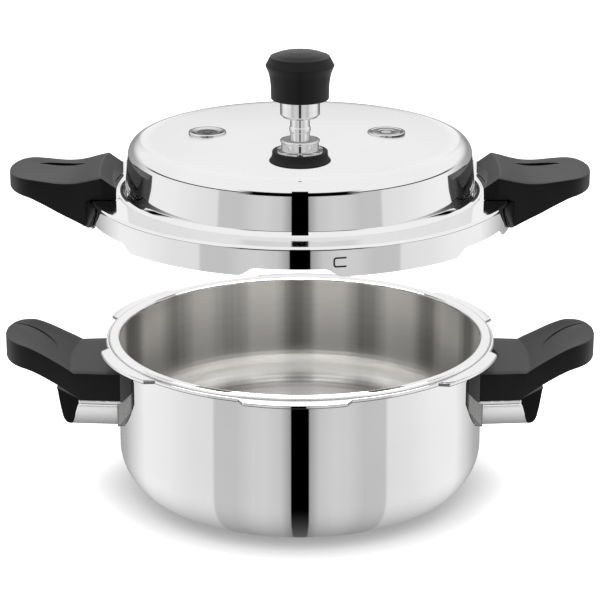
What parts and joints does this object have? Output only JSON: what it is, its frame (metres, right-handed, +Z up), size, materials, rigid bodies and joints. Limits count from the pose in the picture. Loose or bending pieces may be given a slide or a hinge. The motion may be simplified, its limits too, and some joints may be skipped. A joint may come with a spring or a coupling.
{
  "type": "pressure pan",
  "caption": "Low steel pressure pan with side handles and a raised outer locking lid that carries a weight valve, a pressure indicator and a safety plug.",
  "frame": {"origin": "middle of the pan's flat underside, on the axis of the pan and the lid", "axes": "+Z up along the pan's axis, +X through the handles to the right as the picture shows it, +Y to the back"},
  "size_m": [0.323, 0.2282, 0.2597],
  "materials": {
    "pan_steel": "mirror polished outside, satin inside",
    "bracket_steel": "polished",
    "handle_plastic": "satin",
    "screw_steel": "bright",
    "lid_steel": "mirror polished outside, satin inside",
    "gasket_rubber": "matte",
    "ring_rubber": "matte",
    "stem_steel": "turned and polished",
    "cap_plastic": "satin",
    "plug_metal": "turned",
    "indicator_steel": "polished",
    "indicator_pin_metal": "dark"
  },
  "bodies": {
    "pan": {"pan_body": "pan_steel", "pan_bracket_left": "bracket_steel", "pan_bracket_right": "bracket_steel", "pan_handle_left": "handle_plastic", "pan_handle_right": "handle_plastic", "pan_handle_screw_left": "screw_steel", "pan_handle_screw_right": "screw_steel"},
    "gasket_ring": {"gasket": "gasket_rubber"},
    "lid": {"lid_shell": "lid_steel", "lid_bracket_left": "bracket_steel", "lid_bracket_right": "bracket_steel", "lid_handle_left": "handle_plastic", "lid_handle_right": "handle_plastic", "lid_handle_screw_left": "screw_steel", "lid_handle_screw_right": "screw_steel", "vent_base_ring": "ring_rubber", "vent_pipe": "stem_steel", "vent_washer": "stem_steel", "vent_collar": "stem_steel", "vent_nut": "stem_steel", "safety_plug_body": "plug_metal", "safety_plug_core": "plug_metal", "safety_plug_nut": "plug_metal", "indicator_bezel": "indicator_steel", "indicator_nut": "indicator_steel"},
    "weight": {"weight_body": "stem_steel", "weight_cap": "cap_plastic", "weight_pin": "stem_steel"},
    "indicator": {"indicator_pin": "indicator_pin_metal", "indicator_clip": "indicator_pin_metal"}
  },
  "joints": [
    {"name": "lid_lift", "type": "slide", "parent": "pan", "child": "gasket_ring", "axis": [0, 0, 1], "range_m": [-0.0728, 0]},
    {"name": "lid_turn", "type": "hinge", "parent": "gasket_ring", "child": "lid", "pos_m": [0, 0, 0.1717], "axis": [0, 0, 1], "range_deg": [-30, 0]},
    {"name": "weight_lift", "type": "slide", "parent": "lid", "child": "weight", "axis": [0, 0, 1], "range_m": [0, 0.03]},
    {"name": "indicator_rise", "type": "slide", "parent": "lid", "child": "indicator", "axis": [0, 0, 1], "range_m": [0, 0.004]}
  ]
}
